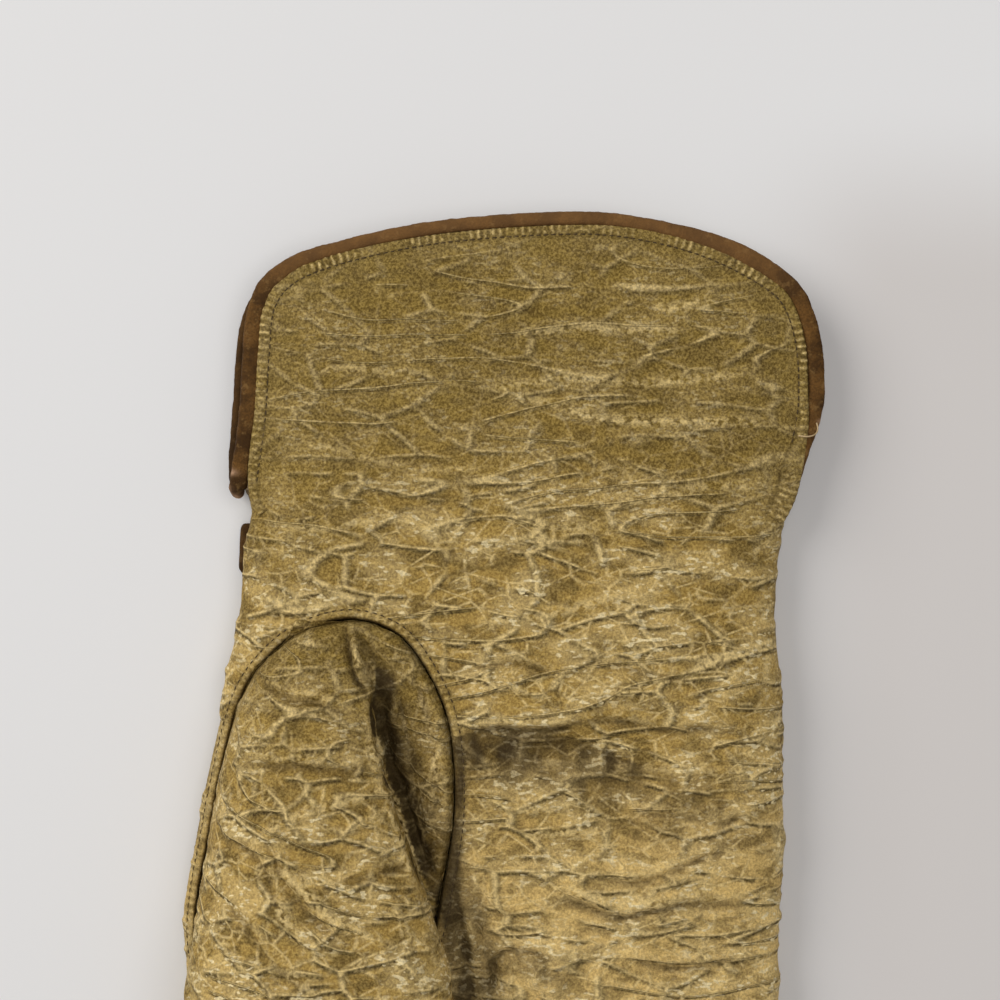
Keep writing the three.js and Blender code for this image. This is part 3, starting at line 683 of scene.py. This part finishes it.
# Places painted darker for the shade in the recess under the thumb's edge, on the tuck and in its pinch:
# how dark, half widths to the right and to the left of the line as it runs in mm, pixels.
THUMB_SHADE = [
    (1.1, 0.3, 4.0, [(374, 688), (372, 716), (380, 750), (387, 780), (399, 808)]),
    (1.1, 0.3, 3.2, [(399, 808), (409, 840), (419, 870), (434, 902), (440, 918)]),
    (0.72, 0.3, 7.5, [(386, 768), (391, 785), (402, 812), (411, 840), (421, 870), (436, 905)]),
    (0.42, 0.5, 6.0, [(378, 690), (378, 735), (384, 765)]),
    (0.4, 2.4, 2.4, [(356, 644), (368, 664), (380, 686)]),
]
THUMB_FOLDS = [
    (-1.6, 1.0, 0.9, [(436, 902), (421, 870), (411, 840), (402, 810), (389, 780), (382, 750), (377, 690)]),
    (-0.8, 0.6, 0.0, [(391, 690), (399, 722), (404, 760), (409, 790), (418, 828), (430, 866)]),
    (0.5, 0.5, 0.0, [(386, 690), (390, 715), (388, 730)]),
    (0.5, 0.5, 0.0, [(397, 720), (402, 745), (404, 775), (412, 800)]),
    (-0.6, 0.6, 0.3, [(404, 668), (418, 700), (428, 745), (434, 790), (438, 840)]),
    (0.4, 0.5, 0.0, [(412, 690), (424, 730), (432, 780), (430, 820)]),
    (0.4, 0.5, 0.0, [(422, 800), (433, 770), (440, 750)]),
    (0.4, 0.5, 0.0, [(420, 840), (430, 810), (436, 780)]),
    (-0.9, 0.6, 0.3, [(338, 628), (343, 645), (346, 662), (352, 684), (366, 700)]),
    (-0.7, 0.5, 0.3, [(352, 634), (362, 650), (374, 664), (386, 676), (396, 692)]),
    (0.6, 0.5, 0.0, [(348, 640), (353, 660), (362, 676), (372, 692)]),
    (0.6, 0.45, 0.0, [(360, 656), (368, 668), (372, 682), (379, 690)]),
    (-0.5, 0.45, 0.0, [(356, 662), (364, 672), (368, 686)]),
    (-0.7, 0.8, 0.5, [(250, 686), (269, 696), (290, 705), (310, 707), (335, 716), (352, 722)]),
    (-0.6, 0.8, 0.5, [(240, 764), (278, 771), (299, 770), (321, 773), (346, 775), (378, 771)]),
    (0.6, 0.7, 0.0, [(253, 843), (279, 826), (314, 813), (352, 803), (387, 795)]),
    (0.6, 0.8, 0.0, [(276, 857), (287, 876), (310, 895), (325, 910), (341, 923), (364, 933), (400, 950)]),
    (-0.6, 0.7, 0.3, [(262, 842), (275, 862), (284, 884), (302, 906), (322, 926), (345, 940)]),
    (0.6, 0.7, 0.0, [(272, 891), (281, 914), (302, 935), (329, 950), (345, 952)]),
    (0.4, 0.7, 0.0, [(341, 837), (360, 828), (383, 816), (402, 820)]),
    (-0.6, 0.8, 0.3, [(335, 884), (355, 881), (367, 883), (383, 876), (421, 870)]),
    (-0.6, 0.7, 0.4, [(214, 842), (240, 850), (262, 868), (275, 900), (290, 930)]),
    (0.5, 0.7, 0.0, [(287, 969), (302, 981), (322, 994)]),
    (-0.5, 0.7, 0.4, [(215, 900), (240, 920), (262, 950), (290, 975), (330, 990)]),
    (0.5, 0.6, 0.0, [(390, 900), (404, 925), (420, 944), (440, 960)]),
]

thumb_hide = tan_leather("thumb_hide", THUMB_GRAIN, 38.0, -60.0)
thumb = merged_copy("thumb_leather", "thumb")
thumb_shell = tree_of(thumb)
soften(thumb, 0.5 * MM, 8)
hidden = (inside_of(thumb_shell, thumb.data) > 0.5) | (directions(thumb.data)[:, 2] < -0.3)
coarser_where(thumb, thumb_shell, hidden, THUMB_SHARE)
facing = directions(thumb.data)
hollow = inside_of(thumb_shell, thumb.data) * (facing[:, 2] < 0.7)
points = places(thumb.data)
plan = points[:, :2] / MM - np.array(WRIST[:2])
from_hole = along_line(np.vstack([hole_edge, hole_edge[:1]]), plan)[0]
low_top = (facing[:, 2] > 0.1) & (points[:, 2] < SHELF_TOP * MM)
high_shelf = np.exp(-((np.linalg.norm(plan - HIGH_SHELF, axis=1) / 7) ** 2))
points[:, 2] -= (1.3 + 0.9 * high_shelf) * np.exp(-((from_hole / 0.9) ** 2)) * low_top * MM
crest, furrow_shade = press_folds(points, THUMB_FOLDS, THUMB_TOP, facing[:, 2] > 0.3)
move_to(thumb.data, points)
mark(thumb.data, "hollow", hollow)
mark(thumb.data, "calm", np.maximum(0.6 * np.exp(-((from_hole / 1.5) ** 2)), hollow))
# Painted shade: a thin dark line along the seam, and the dark recess and tuck beside the thumb; no pale
# crests inside it.
seam = 0.85 * np.exp(-((from_hole / 0.4) ** 2)) * low_top
shaded = np.maximum(seam, shade(points, THUMB_SHADE, TUCK_TOP) * (facing[:, 2] > 0))
mark(thumb.data, "crest", crest * (1 - shaded))
mark(thumb.data, "furrow_shade", np.maximum(furrow_shade, shaded))
press_grain(thumb, THUMB_GRAIN, 1.0, 0.9)
wear_finishes(thumb, thumb_hide)
keep_off_table(thumb.data)
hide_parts("thumb")
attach(thumb, "root")


# The side strips: narrow gussets of the same hide between neighbouring fingers, sewn in along
# both edges and round the crotch, so that the fingers have thickness.
for node in ("fourchette_index_middle", "fourchette_middle_ring", "fourchette_ring_little"):
    strip = merged_copy(node + "_leather", node)
    soften(strip, 0.45 * MM, 4)
    for name in ("calm", "crest", "furrow_shade"):
        mark(strip.data, name, np.zeros(len(strip.data.vertices)))
    press_grain(strip, PALM_GRAIN, 0.8, 0.4)
    strip.data.materials.append(tan_hide)
    keep_off_table(strip.data)
    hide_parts(node)
    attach(strip, "root")


# The turned edges: the hide is folded under and sewn down along the flap and round the thumb
# hole, which leaves a narrow flat margin outside the stitches, puckered between them.
STITCH_PITCH = 1.25
EDGE_STEP = 0.2  # between the points along a turned edge
EDGE_LEATHER = 0.55 * MM


ABOVE_ALL = 60  # a height over the whole glove, millimetres


def height_under(ground, x, y):
    """The height in mm of the leather under a plan point, or None beside it."""
    found = ground.ray_cast(spot(x, y, ABOVE_ALL), -UP)[0]
    return None if found is None else found.z / MM


def beside(line, closed):
    """The unit vector to the left of a line at each of its points."""
    if closed:
        way = np.roll(line, -1, axis=0) - np.roll(line, 1, axis=0)
    else:
        way = np.gradient(line, axis=0)
    way /= np.linalg.norm(way, axis=1)[:, None]
    return np.stack([-way[:, 1], way[:, 0]], axis=1)


def edge_heights(ground, line, left, offsets, firm):
    """The leather's height in mm under each row, worked out both ways from the row that is firm."""
    heights = np.empty(offsets.shape)
    for i, ((x, y), (lx, ly), offs) in enumerate(zip(line, left, offsets)):
        found = [height_under(ground, x + lx * off, y + ly * off) for off in offs]
        if found[firm] is None:
            found[firm] = heights[i - 1, firm] if i else 10.0
        for way, slope in ((1, 0.3), (-1, 1.5)):
            k = firm + way
            while 0 <= k < len(offs):
                gap = abs(offs[k] - offs[k - way])
                lowest = found[k - way] - slope * gap
                if found[k] is None or abs(found[k] - found[k - way]) > 3 * gap + 0.2:
                    found[k] = lowest
                if way > 0:
                    found[k] = max(found[k], lowest)
                k += way
        heights[i] = found
    return heights


def edge_band(name, line, closed, rows, firm, spread, reach, ground, pucker):
    """A margin along a line. Rows are (distance to its left, lift over the leather, painted shade)."""
    left = beside(line, closed)
    inner = np.array([min(row[0], 0) for row in rows])
    outer = np.array([max(row[0], 0) for row in rows])
    offsets = spread[:, None] * inner + reach[:, None] * outer
    heights = edge_heights(ground, line, left, offsets, firm)
    evened = 9  # neighbouring points whose heights are averaged
    for k in range(len(rows)):
        padded = np.pad(heights[:, k], evened // 2, mode="wrap" if closed else "edge")
        heights[:, k] = np.convolve(padded, np.ones(evened) / evened, mode="valid")
    bm = bmesh.new()
    grid = []
    crests = []
    furrow_shades = []
    run = 0.0
    for i, ((x, y), (lx, ly)) in enumerate(zip(line, left)):
        if i:
            run += math.dist(line[i - 1], line[i])
        bunch = math.cos(2 * math.pi * run / STITCH_PITCH)
        wander = noise.noise(Vector((run / 2.2, 3.0, 1.0)))
        bunch *= 0.7 + 1.2 * noise.noise(Vector((run / 9, 8.0, 1.0)))
        across = []
        for k, (_, lift, darkness) in enumerate(rows):
            middle = 1 - abs(2 * k / (len(rows) - 1) - 1)
            rise = lift + pucker * middle * (bunch + wander)
            out = offsets[i, k] + 0.3 * pucker * bunch
            place = spot(x + lx * out, y + ly * out, heights[i, k] + rise)
            across.append(bm.verts.new(place))
            # Pucker tops are painted pale as highlight and their troughs darker as shade.
            bunched = bunch if lift > 0.1 else 0.0
            crests.append(max(bunched, 0) * 10 * pucker)
            furrow_shades.append(darkness + max(-bunched, 0) * 4 * pucker)
        grid.append(across)
    pairs = list(zip(grid, grid[1:])) + ([(grid[-1], grid[0])] if closed else [])
    for here, there in pairs:
        for k in range(len(rows) - 1):
            bm.faces.new((here[k], here[k + 1], there[k + 1], there[k]))
    bm.normal_update()
    if sum(face.normal.z for face in bm.faces) < 0:
        bmesh.ops.reverse_faces(bm, faces=bm.faces)
    piece = new_piece(name, bm)
    count = len(piece.data.vertices)
    mark(piece.data, "calm", np.full(count, 0.8))
    # The palm's painted shade runs on over the margin, without pale pucker tops.
    shaded = shade(places(piece.data), PALM_SHADE, PALM_TOP)
    mark(piece.data, "crest", crests * (1 - shaded))
    mark(piece.data, "furrow_shade", np.maximum(np.minimum(furrow_shades, 1), shaded))
    thick = piece.modifiers.new("thick", "SOLIDIFY")
    thick.thickness = EDGE_LEATHER
    thick.offset = -1
    settle(piece)
    piece.data.shade_smooth()
    piece.data.materials.append(tan_hide)
    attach(piece, "root")
    return piece


hand_ground = tree_of(hand)
# The third number of each row is painted shade: a dark line in the stitches' groove and at the margin's
# outer edge.
FLAP_ROWS = [
    (-2.0, -0.3, 0.0), (-1.6, 0.06, 0.0), (-1.2, 0.0, 0.5), (-0.85, 0.22, 0.0),
    (-0.3, 0.36, 0.0), (0.3, 0.42, 0.0), (0.75, 0.36, 0.0), (1.0, -0.1, 0.7),
]
# The edge turns in at the foot of the thumb side's vent, and at the little finger's side it runs
# on over the binding to the foot.
THUMB_FOOT = [(-40.9, 1.0), (-42.0, 3.2)]
VENT_FOOT = [(51.9, 17.0), (51.5, 13.0), (50.8, 8.6), (50.0, 4.8), (48.7, 1.6), (47.5, -0.4)]
flap_line = [*THUMB_FOOT, *(p for p in PALM_FLAP[1:] if p[1] > 18 or p[0] < 0), *VENT_FOOT]
flap_line = smooth_line(flap_line, EDGE_STEP)
to_foot = np.clip((16 - flap_line[:, 1]) / 8, 0, 1) * (flap_line[:, 0] > 0)
flap_spread = 1 + 1.6 * to_foot
flap_reach = 0.45 + 0.5 * np.clip((np.abs(flap_line[:, 0]) - 14) / 14, 0, 1)
flap_reach -= 0.35 * (flap_line[:, 0] > 0) * np.clip((44 - flap_line[:, 1]) / 8, 0, 1)
flap_reach -= 0.6 * (flap_line[:, 0] < 0) * np.clip((14 - flap_line[:, 1]) / 8, 0, 1)
flap_band = edge_band(
    "cuff_turned_edge", flap_line, False, FLAP_ROWS, 0, flap_spread, flap_reach, hand_ground, 0.1
)
# The third number paints shade in the stitches' groove and the dark line of the seam's gap against the
# thumb.
HOLE_ROWS = [
    (-2.3, -0.35, 0.0), (-1.85, 0.02, 0.0), (-1.5, -0.02, 0.5), (-1.2, 0.16, 0.0),
    (-0.85, 0.24, 0.0), (-0.5, 0.2, 0.0), (-0.25, 0.02, 0.6), (0.05, -0.35, 0.9),
]
hole_line = smooth_line(THUMB_HOLE[::-1], EDGE_STEP, closed=True)
even = np.ones(len(hole_line))
hole_band = edge_band(
    "thumb_hole_turned_edge", hole_line, True, HOLE_ROWS, 4, even, even, hand_ground, 0.06
)


# The stitches: one row of dark brown lockstitch along each turned edge, about eight to the
# centimetre, each stitch pulled down into the leather.
def thread_finish(name, dark, light):
    """Twisted sewing thread."""
    material, shader, finish = surface(name)
    place = finish.millimetres()
    twist = finish.cloud(finish.turned(place, 40), 0.16, 1.0)
    wear = finish.cloud(place, 4.0, 2.0)
    colour = finish.mix(twist, dark, light)
    colour = finish.mix(finish.step(wear, 0.55, 0.75) * 0.4, colour, paint(150, 124, 80))
    lay(finish, shader, colour, 0.8 + twist * 0.1, twist * 0.05)
    return material


STEPS = 3  # points of the line for each stitch
brown_thread = thread_finish("brown_thread", paint(40, 28, 10), paint(84, 64, 30))


def stitch_row(name, line, closed, offset, ground, sink, thick, length):
    """A row of stitches at a distance to the left of a line, on the leather under it."""
    left = beside(line, closed)
    run = line + left * offset
    bm = bmesh.new()
    for (x0, y0), (x1, y1) in zip(run[:-STEPS:STEPS], run[STEPS::STEPS]):
        way = Vector((x1 - x0, y1 - y0, 0)).normalized()
        x, y = (x0 + x1) / 2, (y0 + y1) / 2
        z = height_under(ground, x, y)
        if z is None:
            continue
        bead = bmesh.ops.create_icosphere(bm, subdivisions=1, radius=0.5)["verts"]
        wobble = 1 + 0.2 * noise.noise(Vector((x, y, 9)))
        bmesh.ops.scale(bm, vec=Vector((length * wobble, thick, thick)), verts=bead)
        turn = math.atan2(way.y, way.x) + 0.12 * noise.noise(Vector((x * 3, y * 3, 2)))
        bmesh.ops.rotate(bm, cent=Vector(), matrix=Matrix.Rotation(turn, 3, "Z"), verts=bead)
        bmesh.ops.translate(bm, vec=Vector((x, y, z - sink)), verts=bead)
    bmesh.ops.translate(bm, vec=WRIST, verts=bm.verts)
    bmesh.ops.scale(bm, vec=Vector((MM, MM, MM)), verts=bm.verts)
    piece = new_piece(name, bm)
    piece.data.materials.append(brown_thread)
    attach(piece, "root")
    return piece


stitch_line = [p for p in PALM_FLAP if p[1] > (11 if p[0] > 0 else 4)]
stitch_line = smooth_line(stitch_line, STITCH_PITCH / STEPS)
stitch_row("cuff_stitches", stitch_line, False, -1.2, tree_of(flap_band), 0.02, 0.3, 1.0)
stitch_line = smooth_line(THUMB_HOLE[::-1], STITCH_PITCH / STEPS, closed=True)
stitch_row("thumb_seam_stitches", stitch_line, True, -1.5, tree_of(hole_band), 0.0, 0.3, 0.95)


# The binding: one strip of soft brown leather folded over the raw edges of both flaps and the
# feet of the vents, and sewn through. It is napped, and rubbed paler where it is handled.
def brown_leather(name):
    """Matt brown leather with a short nap, painted darker as shade where it lies low."""
    material, shader, finish = surface(name)
    shader.inputs["Specular IOR Level"].default_value = 0.2
    place = finish.millimetres()
    worn = finish.marked("worn")
    nap = finish.cloud(place, 0.35, 3.0, 0.65)
    patch = finish.cloud(place, 5.0, 3.0, 0.6)
    rub = finish.step(finish.cloud(place, 1.8, 3.0, 0.7), 0.54, 0.70)
    colour = finish.mix(finish.step(patch, 0.35, 0.65), paint(66, 42, 12), paint(108, 74, 32))
    colour = finish.mix(finish.step(nap, 0.62, 0.34) * 0.45, colour, paint(44, 28, 8))
    colour = finish.mix(rub * 0.4, colour, paint(146, 112, 62))
    colour = finish.mix(worn * (nap + 0.4), colour, paint(188, 150, 118))
    rubbed_top = finish.step(finish.part(place, 1), 106.0, 117.0)
    colour = finish.mix(rubbed_top * 0.4, colour, paint(136, 98, 58))
    # Painted shade: the binding that lies low, along the back flap, is darkened where it is not worn.
    lower_shade = finish.step(finish.part(place, 2), 7.0, 5.0)
    colour = finish.mix(lower_shade * 0.5 * (1.0 - worn), colour, paint(50, 32, 10))
    lay(finish, shader, colour, 0.86 - rub * 0.1, nap * 0.14 + patch * 0.2)
    return material


# Where the binding is rubbed through: plan place and radius in mm.
WORN = [(-45.4, 5.2, 0.7), (-44.6, 4.0, 0.6), (-44.3, 8.0, 0.5), (54.2, 22.8, 0.3), (53.6, 16.9, 0.35)]

brown = brown_leather("brown_leather")
binding = merged_copy("cuff_binding_leather", "cuff_binding")
soften(binding, 0.3 * MM, 6)
points = places(binding.data)
plan = points[:, :2] / MM - np.array(WRIST[:2])
outward = beside(flap_edge, False)
nearest = np.array([np.argmin(((flap_edge - p) ** 2).sum(axis=1)) for p in plan])
past = ((plan - flap_edge[nearest]) * outward[nearest]).sum(axis=1)
upper = np.clip((points[:, 2] / MM - 4.5) / 2.5, 0, 1)
at_side = np.clip((np.abs(plan[:, 0]) - 28) / 12, 0, 1)
off_foot = np.where(plan[:, 0] > 0, np.clip((plan[:, 1] - 12) / 8, 0, 1), 1.0)
push = (0.5 + 0.7 * at_side) * np.clip((past - 0.8) / 1.0, 0, 1) * off_foot
points[:, :2] += outward[nearest] * (push * upper)[:, None] * MM
facing = directions(binding.data)
lump = np.array([noise.noise(Vector(p) / (2.4 * MM)) for p in points])
small = np.array([noise.noise(Vector(p) / (0.8 * MM)) for p in points])
move_to(binding.data, points + facing * (0.12 + 0.1 * lump + 0.06 * small)[:, None] * MM)
worn = np.zeros(len(points))
for x, y, radius in WORN:
    worn = np.maximum(worn, np.exp(-((np.linalg.norm(plan - (x, y), axis=1) / radius) ** 2)))
mark(binding.data, "worn", worn)
binding.data.materials.append(brown)
keep_off_table(binding.data)
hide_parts("cuff_binding")
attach(binding, "root")


# The strap: a flat band of the brown leather across the back of the wrist, under the glove as it
# lies. Its rounded end stands a little past the thumb-side edge.
strap = merged_copy("wrist_strap_leather", "wrist_strap")
soften(strap, 0.4 * MM, 3)
points = places(strap.data)
facing = directions(strap.data)
lump = np.array([noise.noise(Vector(p) / (3 * MM)) for p in points])
flat = facing[:, 2] > -0.5
points[:, 0] -= 0.9 * np.clip((-points[:, 0] / MM - 38) / 4, 0, 1) * MM
move_to(strap.data, points + facing * (0.06 * lump * flat)[:, None] * MM)
mark(strap.data, "worn", np.zeros(len(points)))
strap.data.materials.append(brown)
keep_off_table(strap.data)
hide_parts("wrist_strap")
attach(strap, "root")


# The loose end: a cream thread that has worked out of the binding at the little finger's vent.
def loose_thread(name, path, radius):
    """A round thread along a smooth path in millimetres."""
    curve = bpy.data.curves.new(name, "CURVE")
    curve.dimensions = "3D"
    curve.bevel_depth = radius * MM
    curve.bevel_resolution = 2
    curve.use_fill_caps = True
    spline = curve.splines.new("NURBS")
    spline.points.add(len(path) - 1)
    for knot, place in zip(spline.points, path):
        knot.co = (*spot(*place), 1)
    spline.use_endpoint_u = True
    spline.order_u = 3
    draft = bpy.data.objects.new(name + "_path", curve)
    mesh = bpy.data.meshes.new_from_object(draft)
    bpy.data.objects.remove(draft)
    mesh.shade_smooth()
    piece = bpy.data.objects.new(name, mesh)
    bpy.context.scene.collection.objects.link(piece)
    piece.data.materials.append(cream_thread)
    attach(piece, "root")


cream_thread = thread_finish("cream_thread", paint(150, 118, 80), paint(232, 206, 160))
THREAD_PATH = [
    (50.0, 14.2, 12.6), (51.0, 14.0, 13.0), (52.2, 14.1, 12.6), (53.2, 14.6, 11.6),
    (53.6, 15.6, 10.8), (53.4, 16.4, 10.4),
]
loose_thread("loose_thread", THREAD_PATH, 0.12)


# The table, the light and the view: a white table top, painted with shadow on the right, under one
# broad soft light from the upper left, seen from straight above.
table = bmesh.new()
bmesh.ops.create_grid(table, x_segments=1, y_segments=1, size=2.0)
bmesh.ops.translate(table, vec=Vector((0, 0, -0.05 * MM)), verts=table.verts)
table_top = new_piece("table_top", table)
material, shader, finish = surface("white_table")
where = finish.node("ShaderNodeTexCoord", {}, {}, "Object")
# Painted shadow: the table is shaded to the right of the glove, below the cuff's corner.
shaded = finish.step(finish.part(where, 0), 0.035, 0.07)
shaded = shaded * finish.step(finish.part(where, 1), 0.145, 0.11)
white = finish.mix(shaded, paint(231, 230, 230), paint(210, 205, 202))
finish.tree.links.new(white.socket, shader.inputs["Base Color"])
shader.inputs["Roughness"].default_value = 0.6
table_top.data.materials.append(material)


def soft_light(name, place, target, size, power, colour):
    """A round area light that faces its target."""
    lamp = bpy.data.lights.new(name, "AREA")
    lamp.shape = "DISK"
    lamp.size = size
    lamp.energy = power
    lamp.color = colour
    holder = bpy.data.objects.new(name, lamp)
    holder.location = place
    holder.rotation_euler = (Vector(target) - Vector(place)).to_track_quat("-Z", "Y").to_euler()
    bpy.context.scene.collection.objects.link(holder)


soft_light("window", (-1.4, 0.8, 1.2), (0, 0.05, 0), 1.5, 25.0, (1.0, 0.985, 0.96))
soft_light("ceiling", (0.3, 0.1, 1.4), (0, 0.05, 0), 1.2, 7.0, (1.0, 0.98, 0.95))

world = bpy.data.worlds.new("room")
world.use_nodes = True
world.node_tree.nodes["Background"].inputs["Color"].default_value = (0.95, 0.97, 1.0, 1.0)
world.node_tree.nodes["Background"].inputs["Strength"].default_value = 0.28
bpy.context.scene.world = world

view = bpy.data.cameras.new("view")
view.sensor_width = 36
view.lens = 36 * 320 / 171
camera = bpy.data.objects.new("view", view)
camera.location = spot(CAMERA_OVER[0], CAMERA_OVER[1], CAMERA_HEIGHT)
bpy.context.scene.collection.objects.link(camera)
bpy.context.scene.camera = camera
bpy.context.scene.view_settings.view_transform = "Standard"
